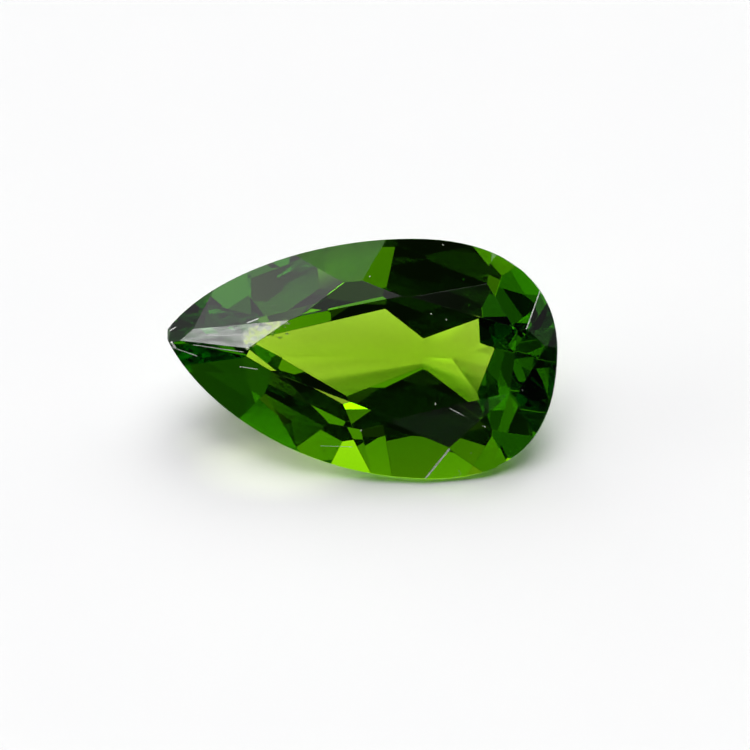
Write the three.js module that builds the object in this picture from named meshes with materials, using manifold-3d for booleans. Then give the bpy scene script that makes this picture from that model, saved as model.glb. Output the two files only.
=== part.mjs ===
// A cut and polished diopside of pear shape, about 8 by 5 mm, in one solid.
//
// The stone is described as it is cut: an outline with a round head and a narrow tip, ground to
// a thin girdle, then one flat facet after another. Its own frame has the girdle plane at z = 0,
// the table facing +Z and the culet, the lowest point, on the Z axis. The tip points along -X.
// A facet is given by its azimuth (0 along +X, 90 along +Y), by its slope from the girdle plane,
// and by how far from the Z axis its plane crosses a level. Lengths are in millimetres and angles
// in degrees.
//
// In the end the stone is tipped over onto the lower facet that it rests on, so that this facet
// lies on z = 0 and the table leans towards -Y.
import * as THREE from "three";
import { mergeVertices } from "three/addons/utils/BufferGeometryUtils.js";
import Module from "manifold-3d";

// Driving dimensions.
const CROWN_HEIGHT = 0.58;
const GIRDLE_THICKNESS = 0.12;
const PAVILION_DEPTH = 2.15;
const REST_SLOPE = 41.8;

// The outline runs in four curves through the tip, the two bellies and the head. The tip is blunt.
const TIP_FAR = [-5.24, 0.57];
const TIP_NEAR = [-5.24, 0.36];
const FAR_BELLY = [-0.2, 2.43];
const NEAR_BELLY = [0.2, -2.5];
const HEAD = [2.76, 0.17];
const CURVE_SEGMENTS = 22;

// The outer facets of the pavilion start a little inside the outline, at the girdle's lower edge.
const PAVILION_INSET = 0.03;

// The keel of the pavilion runs from the culet towards the head and rises to this point.
const KEEL_END_X = 0.66;
const KEEL_RISE = 0.18;

// Facets that frame the table: azimuth, slope, distance at the level of the table.
const TABLE_FACETS = [
  [124.5, 16, 2.17],
  [101, 17, 1.3],
  [73.5, 16.5, 1.11],
  [-7, 27.5, 1.85],
  [-75.5, 15.5, 1.15],
  [-111, 12, 1.39],
  [-128.5, 19.5, 2.09],
];

// Facets that run down to the girdle: azimuth, slope, and how far inside the outline their plane
// crosses the girdle plane. Where it crosses outside, the girdle is thicker.
const CROWN_FACETS = [
  [128.5, 38.5, 0.03],
  [111.5, 26.5, 0.08],
  [98.5, 33, 0.1],
  [86, 28.5, 0.15],
  [78.5, 32, 0.07],
  [65, 35, 0.01],
  [49.5, 32.5, 0.1],
  [20.5, 42.5, 0.08],
  [-15.5, 39, 0.1],
  [-56.5, 30, 0.1],
  [-63.5, 26, 0.06],
  [-78, 30.5, 0.03],
  [-93.5, 24.5, -0.12],
  [-105, 26.5, -0.12],
  [-123, 22.5, -0.17],
];

// The outer tier of the pavilion: azimuth, slope.
const OUTER_PAVILION = [
  [147, 51],
  [127.5, 49],
  [101.5, 45.5],
  [81, 43.5],
  [68.5, 50],
  [37, 46],
  [16, 48.5],
  [-21.5, 45],
  [-48.5, 48.5],
  [-70.5, 48],
  [-90, REST_SLOPE],
  [-109, 47],
  [-116, 50.5],
  [-136, 49.5],
];

// The inner tier, in two groups: azimuth, slope.
const CULET_FACETS = [
  [100.5, 31.5],
  [65, 33],
  [-70.5, 33],
  [-100.5, 31.5],
];
const KEEL_END_FACETS = [
  [4, 30.5],
  [-21.5, 36.5],
];

const wasm = await Module();
wasm.setup();

function toSolid(geometry) {
  const bare = geometry.clone();
  bare.deleteAttribute("normal");
  bare.deleteAttribute("uv");
  const merged = mergeVertices(bare, 1e-5);
  return new wasm.Manifold(
    new wasm.Mesh({
      numProp: 3,
      vertProperties: merged.attributes.position.array,
      triVerts: new Uint32Array(merged.index.array),
    }),
  );
}

function toGeometry(solid) {
  const mesh = solid.getMesh();
  const geometry = new THREE.BufferGeometry();
  geometry.setAttribute("position", new THREE.Float32BufferAttribute(mesh.vertProperties, 3));
  geometry.setIndex(Array.from(mesh.triVerts));
  return geometry;
}

// The outline of the girdle, seen from the table.
function drawOutline() {
  const outline = new THREE.Shape();
  outline.moveTo(...TIP_NEAR);
  outline.bezierCurveTo(-4.65, -0.85, -2.7, -2.5, ...NEAR_BELLY);
  outline.bezierCurveTo(1.73, -2.5, 2.76, -1.82, ...HEAD);
  outline.bezierCurveTo(2.76, 1.39, 1.87, 2.43, ...FAR_BELLY);
  outline.bezierCurveTo(-2.4, 2.43, -4.45, 1.6, ...TIP_FAR);
  outline.closePath();
  return outline;
}

// How far the outline reaches from the Z axis in the direction of an azimuth.
function reach(outlinePoints, azimuth) {
  const turn = THREE.MathUtils.degToRad(azimuth);
  const distances = outlinePoints.map((p) => p.x * Math.cos(turn) + p.y * Math.sin(turn));
  return Math.max(...distances);
}

// The block that lies outside a facet's plane; taking it away from the stone cuts the facet.
// The block is long enough to clear the whole stone, and it tilts up on the crown and down on
// the pavilion.
function facetBlock(azimuth, slope, point, side) {
  const SIZE = 30;
  const block = new THREE.BoxGeometry(SIZE, SIZE, SIZE);
  block.translate(0, 0, SIZE / 2);
  const turn = THREE.MathUtils.degToRad(azimuth);
  const tilt = THREE.MathUtils.degToRad(slope);
  const normal = new THREE.Vector3(
    Math.cos(turn) * Math.sin(tilt),
    Math.sin(turn) * Math.sin(tilt),
    side * Math.cos(tilt),
  );
  block.applyQuaternion(new THREE.Quaternion().setFromUnitVectors(new THREE.Vector3(0, 0, 1), normal));
  block.translate(...point);
  return toSolid(block);
}

function pointAt(azimuth, distance, level) {
  const turn = THREE.MathUtils.degToRad(azimuth);
  return [distance * Math.cos(turn), distance * Math.sin(turn), level];
}

function cutStone() {
  const UP = 1;
  const DOWN = -1;
  const outline = drawOutline();
  const outlinePoints = outline.getPoints(CURVE_SEGMENTS);
  const blank = new THREE.ExtrudeGeometry(outline, {
    depth: CROWN_HEIGHT + GIRDLE_THICKNESS + PAVILION_DEPTH,
    bevelEnabled: false,
    curveSegments: CURVE_SEGMENTS,
  });
  blank.translate(0, 0, -GIRDLE_THICKNESS - PAVILION_DEPTH);
  let stone = toSolid(blank);

  for (const [azimuth, slope, distance] of TABLE_FACETS) {
    const point = pointAt(azimuth, distance, CROWN_HEIGHT);
    stone = stone.subtract(facetBlock(azimuth, slope, point, UP));
  }
  for (const [azimuth, slope, inset] of CROWN_FACETS) {
    const point = pointAt(azimuth, reach(outlinePoints, azimuth) - inset, 0);
    stone = stone.subtract(facetBlock(azimuth, slope, point, UP));
  }
  for (const [azimuth, slope] of OUTER_PAVILION) {
    const distance = reach(outlinePoints, azimuth) - PAVILION_INSET;
    const point = pointAt(azimuth, distance, -GIRDLE_THICKNESS);
    stone = stone.subtract(facetBlock(azimuth, slope, point, DOWN));
  }
  const culet = [0, 0, -GIRDLE_THICKNESS - PAVILION_DEPTH];
  for (const [azimuth, slope] of CULET_FACETS) {
    stone = stone.subtract(facetBlock(azimuth, slope, culet, DOWN));
  }
  const keelEnd = [KEEL_END_X, 0, culet[2] + KEEL_RISE];
  for (const [azimuth, slope] of KEEL_END_FACETS) {
    stone = stone.subtract(facetBlock(azimuth, slope, keelEnd, DOWN));
  }
  return toGeometry(stone);
}

// Tips the stone onto its resting facet, with the middle of its footprint on the Z axis.
function layDown(geometry) {
  geometry.rotateX(THREE.MathUtils.degToRad(REST_SLOPE));
  geometry.computeBoundingBox();
  const { min, max } = geometry.boundingBox;
  geometry.translate(-(min.x + max.x) / 2, -(min.y + max.y) / 2, -min.z);
  return geometry;
}

const stoneGeometry = layDown(cutStone()).toNonIndexed();
stoneGeometry.computeVertexNormals();

const stone = new THREE.Mesh(
  stoneGeometry,
  new THREE.MeshStandardMaterial({ color: 0x7fae1e, roughness: 0.05, metalness: 0 }),
);
stone.name = "stone";

const group = new THREE.Group();
group.add(stone);

export default group;
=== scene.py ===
import math
import random

import bmesh
import bpy
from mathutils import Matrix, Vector
from mathutils.bvhtree import BVHTree


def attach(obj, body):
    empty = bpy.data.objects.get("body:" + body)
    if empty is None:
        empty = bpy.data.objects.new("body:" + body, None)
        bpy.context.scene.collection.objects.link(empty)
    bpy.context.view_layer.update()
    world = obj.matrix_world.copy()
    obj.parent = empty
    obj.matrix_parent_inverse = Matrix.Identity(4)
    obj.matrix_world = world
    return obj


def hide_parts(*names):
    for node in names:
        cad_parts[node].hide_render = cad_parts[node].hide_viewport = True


MM = 0.001

# The stone lies on a lower facet, so its table leans by this angle towards -Y.
TABLE_LEAN = math.radians(41.8)

# The stone's own frame, in millimetres. Its origin is the point of the girdle plane that is
# right over the culet, and its directions lie along and across the table.
GIRDLE_CENTRE = Vector((1.24, -0.024, 1.736)) * MM
STONE_RIGHT = Vector((1, 0, 0))
STONE_FAR = Vector((0, math.cos(TABLE_LEAN), math.sin(TABLE_LEAN)))
STONE_UP = Vector((0, -math.sin(TABLE_LEAN), math.cos(TABLE_LEAN)))
ABOVE_STONE = 5

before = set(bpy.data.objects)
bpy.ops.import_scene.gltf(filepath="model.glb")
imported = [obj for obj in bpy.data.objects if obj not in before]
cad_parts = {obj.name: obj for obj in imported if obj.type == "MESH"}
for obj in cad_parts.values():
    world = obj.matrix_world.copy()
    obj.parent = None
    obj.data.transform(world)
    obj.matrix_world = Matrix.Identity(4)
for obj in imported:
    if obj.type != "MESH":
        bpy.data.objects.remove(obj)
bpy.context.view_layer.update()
scene = bpy.context.scene
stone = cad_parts["stone"]
surface = BVHTree.FromObject(stone, bpy.context.evaluated_depsgraph_get())


def in_stone(x, y, z=0.0):
    """A point given in the stone's own frame, in millimetres, as a point of the shared frame."""
    return GIRDLE_CENTRE + (STONE_RIGHT * x + STONE_FAR * y + STONE_UP * z) * MM


def to_stone(point):
    """A point of the shared frame, in millimetres, in the stone's own frame."""
    offset = point - GIRDLE_CENTRE / MM
    return Vector((offset.dot(STONE_RIGHT), offset.dot(STONE_FAR), offset.dot(STONE_UP)))


def direction_in_stone(x, y, z):
    """A direction given in the stone's own frame, as a direction of the shared frame."""
    return (STONE_RIGHT * x + STONE_FAR * y + STONE_UP * z).normalized()


def on_crown(x, y):
    """The point of the crown's surface over a place in the girdle plane, in the shared frame."""
    return surface.ray_cast(in_stone(x, y, ABOVE_STONE), -STONE_UP)[0]


# Camera: it looks straight down on the table. The lens and the sensor are in millimetres.
VIEW_WIDTH = 15.385 * MM
VIEW_CENTRE = in_stone(-0.985, -0.369)
LENS = 300
SENSOR = 36
CLIP_START_SHARE = 0.1
CLIP_END = 20


def make_camera():
    distance = VIEW_WIDTH * LENS / SENSOR
    data = bpy.data.cameras.new("camera")
    data.lens = LENS
    data.sensor_width = SENSOR
    data.clip_start = distance * CLIP_START_SHARE
    data.clip_end = CLIP_END
    camera = bpy.data.objects.new("camera", data)
    scene.collection.objects.link(camera)
    camera.location = VIEW_CENTRE + STONE_UP * distance
    camera.rotation_euler = (TABLE_LEAN, 0, 0)
    scene.camera = camera


make_camera()


# Helpers for node trees and meshes.
class Tree:
    """A small helper that makes nodes and links them."""

    def __init__(self, tree):
        self.tree = tree
        self.output = None
        tree.nodes.clear()

    def node(self, kind, settings=None, **inputs):
        node = self.tree.nodes.new("ShaderNode" + kind)
        for name, value in (settings or {}).items():
            setattr(node, name, value)
        for name, value in inputs.items():
            self.put(node, name.replace("_", " "), value)
        return node

    def put(self, node, name, value):
        socket = node.inputs[int(name)] if name.isdigit() else node.inputs[name]
        if isinstance(value, bpy.types.NodeSocket):
            self.tree.links.new(value, socket)
        else:
            socket.default_value = value

    def attribute(self, name):
        return self.node("Attribute", {"attribute_name": name}).outputs["Fac"]

    def math(self, operation, a, b=0.0, clamp=False):
        node = self.node("Math", {"operation": operation, "use_clamp": clamp})
        self.put(node, "0", a)
        self.put(node, "1", b)
        return node.outputs[0]

    def add_shares(self, a, share_a, b, share_b):
        """The sum of two values, each times its share."""
        first = self.math("MULTIPLY", a, share_a)
        second = self.math("MULTIPLY", b, share_b)
        return self.math("ADD", first, second)

    def vector(self, operation, a, b=None, scale=None):
        node = self.node("VectorMath", {"operation": operation})
        self.put(node, "0", a)
        if b is not None:
            self.put(node, "1", b)
        if scale is not None:
            self.put(node, "Scale", scale)
        return node

    def dot(self, a, b):
        return self.vector("DOT_PRODUCT", a, b).outputs["Value"]

    def ramp(self, value, low, high, new_low=0.0, new_high=1.0):
        """Takes low to high over to new_low to new_high, and stays at these beyond them."""
        node = self.node("MapRange", {"clamp": True})
        for name, item in (
            ("Value", value),
            ("From Min", low),
            ("From Max", high),
            ("To Min", new_low),
            ("To Max", new_high),
        ):
            self.put(node, name, item)
        return node.outputs["Result"]

    def mix(self, factor, a, b):
        node = self.node("Mix", {"data_type": "RGBA"})
        self.put(node, "Factor", factor)
        self.put(node, "A", a)
        self.put(node, "B", b)
        return node.outputs["Result"]

    def noise(self, place, scale, detail=3.0, roughness=0.5):
        node = self.node("TexNoise", Vector=place, Scale=scale, Detail=detail, Roughness=roughness)
        return node.outputs["Fac"]

    def place_in_mm(self):
        coords = self.node("TexCoord").outputs["Object"]
        return self.vector("SCALE", coords, scale=1 / MM).outputs[0]


def new_material(name):
    """A material with a Principled shader, and its tree helper."""
    material = bpy.data.materials.new(name)
    material.use_nodes = True
    tree = Tree(material.node_tree)
    shader = tree.node("BsdfPrincipled")
    tree.output = tree.node("OutputMaterial", Surface=shader.outputs[0])
    return material, tree, shader


def to_metres(mesh):
    bmesh.ops.scale(mesh, vec=Vector((MM, MM, MM)), verts=mesh.verts)


def add_object(name, mesh, material):
    """Makes an object of a finished mesh, in metres."""
    data = bpy.data.meshes.new(name)
    mesh.to_mesh(data)
    mesh.free()
    piece = bpy.data.objects.new(name, data)
    scene.collection.objects.link(piece)
    data.materials.append(material)
    return piece


# The gem: the CAD stone with every edge ground a little, as on a stone that has been worn.
# Each kind of edge has a width in millimetres and a roughness from 0 to 1.
FACET_EDGE = (0.007, 0.25)
GIRDLE_EDGE = (0.012, 0.45)
HEAD_EDGE = (0.03, 0.8)

# The head's edge is the girdle's upper edge, where x and z in the stone's own frame are above:
HEAD_EDGE_X = 1.7
HEAD_EDGE_Z = -0.06

# Edges that are chipped white along their length: middle and direction in the stone's own
# frame, and width.
CHIPPED_EDGES = [
    ((0.47, -2.15), (-0.49, -0.87), 0.04),
    ((2.18, 1.0), (-0.43, -0.9), 0.022),
]
CHIPPED_ROUGHNESS = 1.0

# An edge is one of them if it is this near and this long, and the cosine of its turn from the
# direction is this high.
CHIPPED_NEAR = 0.25
CHIPPED_LENGTH = 0.3
CHIPPED_COSINE = 0.96

# The chip at the tip: a point in the stone's own frame and the direction that the chip faces.
TIP_CHIP = ((-5.225, 0.55, 0.0), (-0.80, 0.38, 0.46))
TIP_ROUGHNESS = 0.4

# Distances in millimetres and turns between faces that count as none, and the turn from which
# an edge is ground.
SAME_PLACE = 1e-4
ON_PLANE = 1e-6
SAME_PLANE = math.radians(0.3)
SHARP_TURN = math.radians(1.5)

# A face belongs to the girdle if the cosine between its normal and the stone's axis is lower.
UPRIGHT = 0.02


def is_upright(face):
    """Tells the faces of the girdle from the facets."""
    return abs(face.normal.dot(STONE_UP)) < UPRIGHT


def grind(mesh, point, normal, roughness, layer):
    """Takes away what lies outside a plane and closes the cut with one face."""
    parts = mesh.verts[:] + mesh.edges[:] + mesh.faces[:]
    cut = bmesh.ops.bisect_plane(
        mesh, geom=parts, dist=ON_PLANE, plane_co=point, plane_no=normal, clear_outer=True
    )
    rim = [item for item in cut["geom_cut"] if isinstance(item, bmesh.types.BMEdge)]
    rim = [edge for edge in rim if edge.is_valid and edge.is_boundary]
    if rim:
        for face in bmesh.ops.edgeloop_fill(mesh, edges=rim)["faces"]:
            face[layer] = roughness


def edge_wear(edge):
    """How wide an edge is worn, and how rough it is there."""
    a, b = (to_stone(vertex.co) for vertex in edge.verts)
    middle = (a + b) / 2
    run = (b - a).xy
    for centre, way, width in CHIPPED_EDGES:
        near = (middle.xy - Vector(centre)).length < CHIPPED_NEAR
        if near and run.length > CHIPPED_LENGTH:
            if abs(run.normalized().dot(Vector(way).normalized())) > CHIPPED_COSINE:
                return width, CHIPPED_ROUGHNESS
    if not any(is_upright(face) for face in edge.link_faces):
        return FACET_EDGE
    if middle.x > HEAD_EDGE_X and middle.z > HEAD_EDGE_Z:
        return HEAD_EDGE
    return GIRDLE_EDGE


def make_gem():
    mesh = bmesh.new()
    mesh.from_mesh(stone.data)
    bmesh.ops.scale(mesh, vec=Vector((1, 1, 1)) / MM, verts=mesh.verts)
    bmesh.ops.remove_doubles(mesh, verts=mesh.verts, dist=SAME_PLACE)
    bmesh.ops.dissolve_limit(mesh, angle_limit=SAME_PLANE, verts=mesh.verts, edges=mesh.edges)
    mesh.normal_update()
    layer = mesh.faces.layers.float.new("wear")
    planes = []
    for edge in mesh.edges:
        first, second = edge.link_faces
        turn = first.normal.angle(second.normal)
        if turn < SHARP_TURN or (is_upright(first) and is_upright(second)):
            continue
        width, roughness = edge_wear(edge)
        normal = (first.normal + second.normal).normalized()
        depth = width * math.tan(turn / 2) / 2
        planes.append((edge.verts[0].co - normal * depth, normal, roughness))
    for point, normal, roughness in planes:
        grind(mesh, point, normal, roughness, layer)
    point, facing = TIP_CHIP
    grind(mesh, in_stone(*point) / MM, direction_in_stone(*facing), TIP_ROUGHNESS, layer)
    mesh.normal_update()
    girdle = mesh.faces.layers.float.new("girdle")
    for face in mesh.faces:
        face.smooth = is_upright(face)
        face[girdle] = 1.0 if face.smooth else 0.0
    for edge in mesh.edges:
        edge.smooth = all(face.smooth for face in edge.link_faces)
    to_metres(mesh)
    gem = add_object("gem", mesh, diopside_material())
    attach(gem, "root")
    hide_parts("stone")


# Fine scratches that catch the light, on the crown: ends in the stone's own frame and half width.
SCRATCHES = [
    ((0.54, -1.05), (1.27, -1.43), 0.016),
    ((-4.70, 0.25), (-3.68, 0.10), 0.012),
    ((-5.14, 0.20), (-4.63, 0.02), 0.012),
    ((-3.74, -0.20), (-3.39, -0.25), 0.014),
    ((-2.10, -1.82), (-1.45, -1.84), 0.007),
    ((0.99, -1.95), (0.74, -2.45), 0.006),
    ((-4.47, 0.44), (-3.71, 0.45), 0.020),
    ((-3.59, 0.70), (-3.38, 0.78), 0.022),
    ((-5.21, 0.53), (-5.07, 0.61), 0.018),
    ((-5.15, 0.30), (-5.08, 0.20), 0.035),
]

# The facet at the tip that is dull with brushed streaks: its azimuth and slope in the stone's
# own frame, and the cosines of the turns from it at which the dullness ends and is whole.
DULL_FACET = (124.5, 16)
DULL_COSINES = (0.9990, 0.9996)
STREAK_STRETCH = (0.9, 14, 14)

# A feather that reaches the surface of this facet: middle, direction and half sizes, in the
# stone's own frame, and the number of cells of its web of cracks in a millimetre.
FEATHER_MIDDLE = (-3.22, 0.49)
FEATHER_WAY = (0.914, 0.405)
FEATHER_REACH = (0.60, 0.26)
CRACK_SCALE = 6.5

# The gem's material: roughness and opacity that each kind of mark adds, the feather's tint, and
# how sharply damage turns to opaque chalk.
DAMAGE_ROUGHNESS = 0.45
FEATHER_ROUGHNESS = 0.3
GIRDLE_ROUGHNESS = (0.25, 0.4)
FEATHER_OPACITY = 0.85
STREAK_OPACITY = 0.35
FEATHER_TINT = (0.82, 1, 0.4, 1)
CHALK_POWER = 3.0
GRAIN_SCALE = 45
PATCH_SCALE = 9

# The crystal itself. The density of the absorption is per metre.
DIOPSIDE_IOR = 1.68
ABSORPTION_COLOUR = (0.753, 0.897, 0.073, 1)
ABSORPTION_DENSITY = 1600


def scratch_mask(tree, place, a, b, radius):
    """One near a line from a to b, nothing away from it. Lengths are in millimetres."""
    run = b - a
    offset = tree.vector("SUBTRACT", place, a).outputs[0]
    share = tree.dot(offset, run / run.length_squared)
    share = tree.math("MAXIMUM", tree.math("MINIMUM", share, 1.0), 0.0)
    nearest = tree.vector("SCALE", run, scale=share).outputs[0]
    distance = tree.vector("DISTANCE", offset, nearest).outputs["Value"]
    return tree.ramp(distance, radius, radius * 0.5)


def feather_mask(tree, place):
    """A web of fine cracks inside the feather and nothing away from it."""
    x, y = FEATHER_WAY
    offset = tree.vector("SUBTRACT", place, on_crown(*FEATHER_MIDDLE) / MM).outputs[0]
    along = direction_in_stone(x, y, 0) / FEATHER_REACH[0]
    across = direction_in_stone(-y, x, 0) / FEATHER_REACH[1]
    u = tree.dot(offset, along)
    v = tree.dot(offset, across)
    cloud = tree.noise(place, scale=6, detail=4, roughness=0.6)
    uneven = tree.ramp(cloud, 0.3, 0.7, new_low=-0.7, new_high=0.7)
    reach = tree.math("ADD", tree.math("MULTIPLY", u, u), tree.math("MULTIPLY", v, v))
    inside = tree.ramp(tree.math("ADD", reach, uneven), 1.0, 0.3)
    cells = tree.node(
        "TexVoronoi", {"feature": "DISTANCE_TO_EDGE"}, Vector=place, Scale=CRACK_SCALE
    )
    web = tree.ramp(cells.outputs["Distance"], 0.16, 0.03, new_low=0.45, new_high=1.0)
    return tree.math("MULTIPLY", inside, web)


def dull_mask(tree):
    """One on the dull facet and nothing on the others."""
    azimuth, slope = (math.radians(angle) for angle in DULL_FACET)
    x, y = math.cos(azimuth) * math.sin(slope), math.sin(azimuth) * math.sin(slope)
    facing = direction_in_stone(x, y, math.cos(slope))
    normal = tree.node("NewGeometry").outputs["True Normal"]
    return tree.ramp(tree.dot(normal, facing), *DULL_COSINES)


def diopside_material():
    """Clear, with its colour from absorption along the light's way."""
    material, tree, shader = new_material("diopside")
    place = tree.place_in_mm()
    wear = tree.attribute("wear")
    girdle = tree.attribute("girdle")
    grain = tree.ramp(tree.noise(place, GRAIN_SCALE, detail=3, roughness=0.6), 0.35, 0.65)
    patches = tree.ramp(tree.noise(place, PATCH_SCALE, detail=2), 0.4, 0.6)
    damage = tree.math("MULTIPLY", wear, tree.ramp(grain, 0, 1, 0.7, 1.0))
    for start, end, radius in SCRATCHES:
        a, b = (on_crown(*point) / MM for point in (start, end))
        line = scratch_mask(tree, place, a, b, radius)
        line = tree.math("MULTIPLY", line, tree.ramp(grain, 0, 1, 0.75, 1.0))
        damage = tree.math("MAXIMUM", damage, line)
    dull = dull_mask(tree)
    feather = tree.math("MULTIPLY", feather_mask(tree, place), dull)
    stretched = tree.vector("MULTIPLY", place, STREAK_STRETCH).outputs[0]
    brushed = tree.ramp(tree.noise(stretched, scale=1.0, detail=4, roughness=0.6), 0.35, 0.7)
    streaks = tree.math("MULTIPLY", brushed, dull)
    frosted = tree.math("MULTIPLY", girdle, tree.ramp(patches, 0, 1, *GIRDLE_ROUGHNESS))
    rubbed = tree.add_shares(damage, DAMAGE_ROUGHNESS, feather, FEATHER_ROUGHNESS)
    tree.put(shader, "Roughness", tree.math("ADD", rubbed, frosted, clamp=True))
    chalk = tree.math("POWER", damage, CHALK_POWER)
    haze = tree.add_shares(feather, FEATHER_OPACITY, streaks, STREAK_OPACITY)
    opaque = tree.math("MAXIMUM", chalk, haze, clamp=True)
    tree.put(shader, "Transmission Weight", tree.math("SUBTRACT", 1.0, opaque))
    tree.put(shader, "Base Color", tree.mix(feather, (1, 1, 1, 1), FEATHER_TINT))
    shader.inputs["IOR"].default_value = DIOPSIDE_IOR
    absorption = tree.node("VolumeAbsorption")
    absorption.inputs["Color"].default_value = ABSORPTION_COLOUR
    absorption.inputs["Density"].default_value = ABSORPTION_DENSITY
    tree.put(tree.output, "Volume", absorption.outputs[0])
    return material


make_gem()


# Under the surface the feather is a cloud of many small bright flakes. Lengths are in
# millimetres: how far they spread, their depth, their size and half their thickness.
FEATHER_FLAKES = 70
FLAKE_SPREAD_ALONG = 0.5
FLAKE_SPREAD_ACROSS = 0.09
FLAKE_DEPTH = (0.03, 0.12)
FLAKE_SIZE = (0.02, 0.07)
FLAKE_HALF_THICKNESS = 0.004
FLAKE_TILT = 0.25
FLAKE_NARROWING = 0.6
FLAKE_DARK = (0.75, 0.85, 0.45, 1)
FLAKE_BRIGHT = (0.95, 1, 0.9, 1)


def feather_material():
    material, tree, shader = new_material("feather")
    place = tree.place_in_mm()
    tone = tree.ramp(tree.noise(place, scale=30, detail=3), 0.35, 0.65)
    tree.put(shader, "Base Color", tree.mix(tone, FLAKE_DARK, FLAKE_BRIGHT))
    tree.put(shader, "Roughness", tree.ramp(tone, 0, 1, 0.12, 0.35))
    tree.put(shader, "Alpha", tree.ramp(tone, 0, 1, 0.25, 0.7))
    shader.inputs["Metallic"].default_value = 1
    return material


def add_flake(mesh, rng, centre):
    """One flat flake with a ragged rim of four to six corners."""
    size = rng.uniform(*FLAKE_SIZE)
    tilt = Vector((rng.gauss(0, FLAKE_TILT), rng.gauss(0, FLAKE_TILT), 1))
    normal = direction_in_stone(*tilt)
    side = normal.cross(STONE_RIGHT).normalized()
    other = normal.cross(side)
    count = rng.randint(4, 6)
    ring = []
    for i in range(count):
        angle = math.tau * (i + rng.uniform(-0.2, 0.2)) / count
        radius = size * rng.uniform(0.6, 1.0)
        narrow = side * math.cos(angle) * radius * FLAKE_NARROWING
        ring.append(mesh.verts.new(centre + (narrow + other * math.sin(angle) * radius)))
    top = mesh.verts.new(centre + normal * FLAKE_HALF_THICKNESS)
    bottom = mesh.verts.new(centre - normal * FLAKE_HALF_THICKNESS)
    for a, b in zip(ring, ring[1:] + ring[:1]):
        mesh.faces.new((a, b, top))
        mesh.faces.new((b, a, bottom))


def make_feather():
    rng = random.Random(7)
    mesh = bmesh.new()
    along = Vector(FEATHER_WAY)
    across = along.orthogonal()
    for _ in range(FEATHER_FLAKES):
        spot = Vector(FEATHER_MIDDLE)
        spot += along * rng.uniform(-FLAKE_SPREAD_ALONG, FLAKE_SPREAD_ALONG)
        spot += across * rng.gauss(0, FLAKE_SPREAD_ACROSS)
        add_flake(mesh, rng, on_crown(*spot) / MM - STONE_UP * rng.uniform(*FLAKE_DEPTH))
    bmesh.ops.recalc_face_normals(mesh, faces=mesh.faces)
    to_metres(mesh)
    piece = add_object("feather", mesh, feather_material())
    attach(piece, "root")


make_feather()


# Dust on the crown: places in the stone's own frame and sizes in millimetres.
DUST = [
    ((-1.09, 1.64), 0.030),
    ((0.41, 2.30), 0.028),
    ((0.16, 0.88), 0.030),
    ((0.47, 0.76), 0.024),
    ((0.25, -0.96), 0.030),
    ((2.03, -0.68), 0.024),
    ((0.74, -2.34), 0.024),
    ((0.64, -2.46), 0.022),
    ((-3.06, 1.05), 0.026),
    ((-1.27, -1.50), 0.030),
]
DUST_STRETCH = (1.0, 1.7)
DUST_UNEVENNESS = (0.8, 1.15)
DUST_FLATNESS = 0.6
DUST_DARK = (0.55, 0.57, 0.5, 1)
DUST_PALE = (0.8, 0.82, 0.78, 1)


def dust_material():
    material, tree, shader = new_material("dust")
    place = tree.place_in_mm()
    tone = tree.ramp(tree.noise(place, scale=60, detail=2), 0.3, 0.7)
    tree.put(shader, "Base Color", tree.mix(tone, DUST_DARK, DUST_PALE))
    tree.put(shader, "Roughness", tree.ramp(tone, 0, 1, 0.7, 0.95))
    return material


def make_dust():
    rng = random.Random(3)
    mesh = bmesh.new()
    for spot, size in DUST:
        lump = bmesh.ops.create_icosphere(mesh, subdivisions=2, radius=size / 2)["verts"]
        stretch = rng.uniform(*DUST_STRETCH)
        turn = rng.uniform(0, math.tau)
        along = Vector((math.cos(turn), math.sin(turn), 0))
        centre = on_crown(*spot) / MM
        for vertex in lump:
            local = vertex.co.copy()
            local += along * local.dot(along) * (stretch - 1)
            local *= rng.uniform(*DUST_UNEVENNESS)
            local.z *= DUST_FLATNESS
            vertex.co = centre + STONE_RIGHT * local.x + STONE_FAR * local.y + STONE_UP * local.z
    to_metres(mesh)
    piece = add_object("dust", mesh, dust_material())
    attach(piece, "root")


make_dust()


# Floor: a disc under the stone and a wide ring round it. Light that leaves the stone sees the
# disc alone, as on a small table. The stone's outside mirrors neither of them. They lie a
# little under the stone, so that their faces don't coincide with its lowest facet.
TABLE_RADIUS = 4.4 * MM
FLOOR_RADIUS = 3.0
FLOOR_DROP = 0.02 * MM
FLOOR_SIDES = 96
FLOOR_COOL = (0.93, 0.935, 0.94, 1)
FLOOR_PALE = (0.95, 0.95, 0.95, 1)
FLOOR_ROUGHNESS = 0.9
FLOOR_SPECULAR = 0.2

# Painted pools of light that the stone would gather on the floor: middle and half sizes in
# millimetres, and glow.
PAINTED_CAUSTIC_GLOW = [
    ((1.55, 1.95), (0.45, 0.35), 0.4),
    ((0.4, 1.1), (2.6, 0.6), 0.18),
    ((-1.7, -1.5), (2.0, 1.0), 0.22),
    ((-2.9, -0.85), (1.1, 0.7), 0.08),
]
PAINTED_CAUSTIC_COLOUR = (0.9, 1, 0.6, 1)

# Painted shade under the stone, darkening the floor's colour: middle and half sizes in
# millimetres, and the share of the colour it takes away.
SHADED = [((-0.2, 1.5), (1.7, 0.55), 0.14)]
BLACK = (0, 0, 0, 1)


def soft_spots(tree, place, spots):
    """The sum of round spots on the floor, each even in its inner half and faded at its rim."""
    total = 0.0
    for (x, y), (reach_x, reach_y), strength in spots:
        offset = tree.vector("SUBTRACT", place, Vector((x, y, 0))).outputs[0]
        share = tree.vector("MULTIPLY", offset, Vector((1 / reach_x, 1 / reach_y, 0))).outputs[0]
        away = tree.vector("LENGTH", share).outputs["Value"]
        total = tree.math("ADD", tree.ramp(away, 1.0, 0.5, 0.0, strength), total)
    return total


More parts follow.
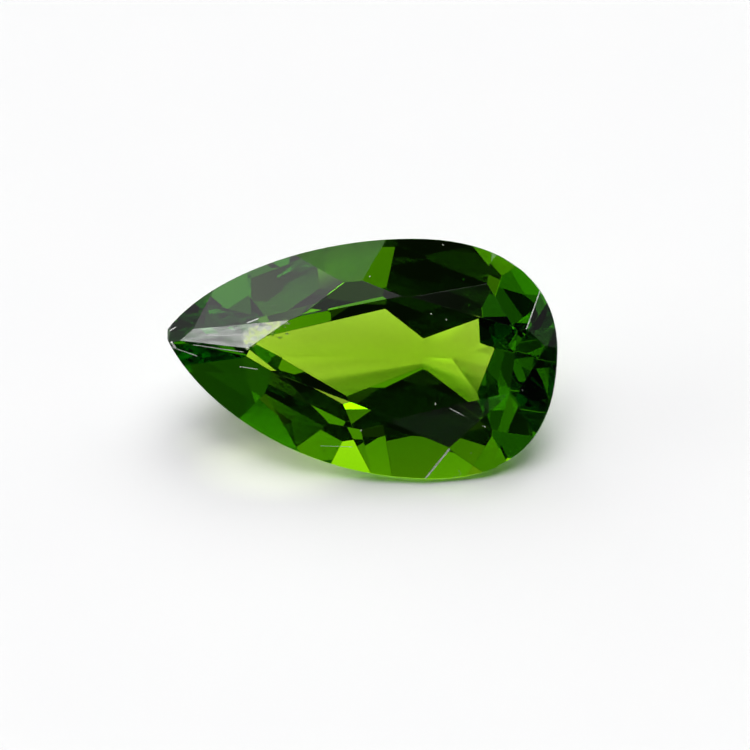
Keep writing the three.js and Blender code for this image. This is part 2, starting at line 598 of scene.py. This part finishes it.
def floor_material():
    material, tree, shader = new_material("floor")
    place = tree.place_in_mm()
    # The floor glows in the painted pools of light near the stone.
    tree.put(shader, "Emission Strength", soft_spots(tree, place, PAINTED_CAUSTIC_GLOW))
    shader.inputs["Emission Color"].default_value = PAINTED_CAUSTIC_COLOUR
    paper = tree.mix(tree.noise(place, scale=0.35, detail=2), FLOOR_COOL, FLOOR_PALE)
    # Painted shade: the floor's colour is darkened towards black under the stone.
    tree.put(shader, "Base Color", tree.mix(soft_spots(tree, place, SHADED), paper, BLACK))
    shader.inputs["Roughness"].default_value = FLOOR_ROUGHNESS
    shader.inputs["Specular IOR Level"].default_value = FLOOR_SPECULAR
    return material


def make_floor(name, inner, outer, material):
    """A flat ring, or a disc where the inner radius is zero."""
    mesh = bmesh.new()
    rings = []
    for radius in (inner, outer):
        ring = []
        for i in range(FLOOR_SIDES):
            angle = math.tau * i / FLOOR_SIDES
            ring.append(mesh.verts.new((radius * math.cos(angle), radius * math.sin(angle), 0)))
            if radius == 0:
                break
        rings.append(ring)
    near, far = rings
    for i in range(FLOOR_SIDES):
        following = (i + 1) % FLOOR_SIDES
        edge = (far[i], far[following])
        if len(near) == 1:
            mesh.faces.new((near[0], *edge))
        else:
            mesh.faces.new((near[following], near[i], *edge))
    floor = add_object(name, mesh, material)
    floor.location.z = -FLOOR_DROP
    floor.visible_glossy = False
    floor.visible_transmission = inner == 0


pale = floor_material()
make_floor("floor.near", 0, TABLE_RADIUS, pale)
make_floor("floor.far", TABLE_RADIUS, FLOOR_RADIUS, pale)


# Light. Azimuth 0 is straight away from the camera and 90 is to its right.
def direction(azimuth, elevation):
    turn = math.radians(azimuth)
    rise = math.radians(elevation)
    level = math.cos(rise)
    return Vector((math.sin(turn) * level, math.cos(turn) * level, math.sin(rise)))


# Soft lights of the studio: azimuth, elevation, radius of the bright middle and of the soft rim,
# radiance.
SOFT_LIGHTS = [
    (0, 44, 14, 24, 2.4),
    (-36, 30, 8, 22, 2.0),
    (-84, 14, 10, 30, 2.0),
    (38, 44, 6, 20, 1.8),
    (-72, 62, 8, 24, 1.3),
    (-18.5, 65, 3, 7, 0.3),
    (0, 90, 4, 14, 0.8),
    (60, 26, 6, 22, 0.7),
    (-128.5, 67.5, 2, 6, 3.3),
]

# Lights that are seen only through the stone and aren't mirrored on its outside.
INNER_LIGHTS = [
    (89, 21, 4, 9, 0.3),
    (10, 4, 2, 4, 1.1),
    (118, 10, 7, 11, 0.72),
    (143, 14.5, 2.5, 5, 1.2),
    (160, 15, 4, 8, 0.75),
    (152, 46, 4, 7, 0.08),
    (145.5, 49, 1.2, 3.2, 7.0),
    (156, 57, 3, 7, 0.5),
    (146, 38.5, 2, 4, 0.7),
    (90.5, 42, 2.5, 5, 0.7),
    (-163.5, 22, 2.5, 5, 0.45),
    (-151, 21.5, 2.5, 5.5, 0.45),
    (-157, 12, 3.5, 6, 0.85),
    (-118, 4, 5.5, 10, 0.65),
    (-139, 45, 3, 6, 0.33),
    (-102, -5, 1.5, 4, 0.1),
]
ROOM_GLOW = 0.008

# Below the horizon the room is pale behind the stone, nearly black on the viewer's side, and
# dim straight down.
PALE_ROOM = 0.9
DEEP_SHADE = 0.4
UNDER_GLOW = 0.12

# The camera sees the floor's own brightness beyond the floor, with no line between them.
BEYOND_FLOOR = 0.975

# A wide, even light from overhead that makes the floor bright and the shadow soft. The stone
# doesn't mirror it.
KEY_WAY = (0, 72)
KEY_WIDTH = math.radians(54)
KEY_STRENGTH = 1.43
KEY_DISTANCE = 0.5


def add_key():
    data = bpy.data.lights.new("skylight", "SUN")
    data.angle = KEY_WIDTH
    data.energy = KEY_STRENGTH
    light = bpy.data.objects.new("skylight", data)
    scene.collection.objects.link(light)
    way = direction(*KEY_WAY)
    light.location = way * KEY_DISTANCE
    light.rotation_mode = "QUATERNION"
    light.rotation_quaternion = (-way).to_track_quat("-Z", "Y")
    light.visible_camera = False
    light.visible_glossy = False
    light.visible_transmission = False


add_key()


def add_glows(tree, coords, lights, total):
    """Adds round lights with soft rims to the world's radiance."""
    for azimuth, elevation, bright, rim, radiance in lights:
        closeness = tree.dot(coords, direction(azimuth, elevation))
        glow = tree.node("MapRange", {"interpolation_type": "SMOOTHSTEP"}, Value=closeness)
        tree.put(glow, "From Min", math.cos(math.radians(rim)))
        tree.put(glow, "From Max", math.cos(math.radians(bright)))
        tree.put(glow, "To Max", radiance)
        total = tree.math("ADD", glow.outputs["Result"], total)
    return total


def make_world():
    world = bpy.data.worlds.new("studio")
    scene.world = world
    world.use_nodes = True
    tree = Tree(world.node_tree)
    coords = tree.node("TexCoord").outputs["Generated"]
    height = tree.node("SeparateXYZ", Vector=coords)
    backwards = tree.ramp(height.outputs["Y"], -0.2, 0.6, new_high=PALE_ROOM)
    shade = tree.ramp(height.outputs["Z"], -0.25, -0.05, new_low=DEEP_SHADE)
    under = tree.ramp(height.outputs["Z"], -0.2, -0.6, new_high=UNDER_GLOW)
    glow = tree.math("ADD", tree.math("MULTIPLY", backwards, shade), under)
    below = tree.math("MULTIPLY", tree.math("LESS_THAN", height.outputs["Z"], 0.0), glow)
    total = tree.math("ADD", below, ROOM_GLOW)
    total = add_glows(tree, coords, SOFT_LIGHTS, total)
    inner = add_glows(tree, coords, INNER_LIGHTS, 0.0)
    ray = tree.node("LightPath")
    inner = tree.math("MULTIPLY", inner, ray.outputs["Is Transmission Ray"])
    total = tree.math("ADD", total, inner)
    strength = tree.ramp(ray.outputs["Is Camera Ray"], 0.0, 1.0, total, BEYOND_FLOOR)
    background = tree.node("Background", Color=(1, 1, 1, 1), Strength=strength)
    tree.node("OutputWorld", Surface=background.outputs[0])


make_world()


# Settings that a clear stone needs: light goes round inside it many times.
STONE_BOUNCES = 24


def set_cycles():
    cycles = scene.cycles
    cycles.max_bounces = STONE_BOUNCES
    cycles.transmission_bounces = STONE_BOUNCES
    cycles.glossy_bounces = STONE_BOUNCES
    cycles.diffuse_bounces = 4
    cycles.transparent_max_bounces = 16
    cycles.caustics_reflective = True
    cycles.caustics_refractive = True
    cycles.blur_glossy = 0
    cycles.sample_clamp_indirect = 8
    cycles.use_denoising = True
    cycles.denoising_input_passes = "RGB"
    scene.view_settings.view_transform = "Standard"
    scene.view_settings.look = "None"


set_cycles()
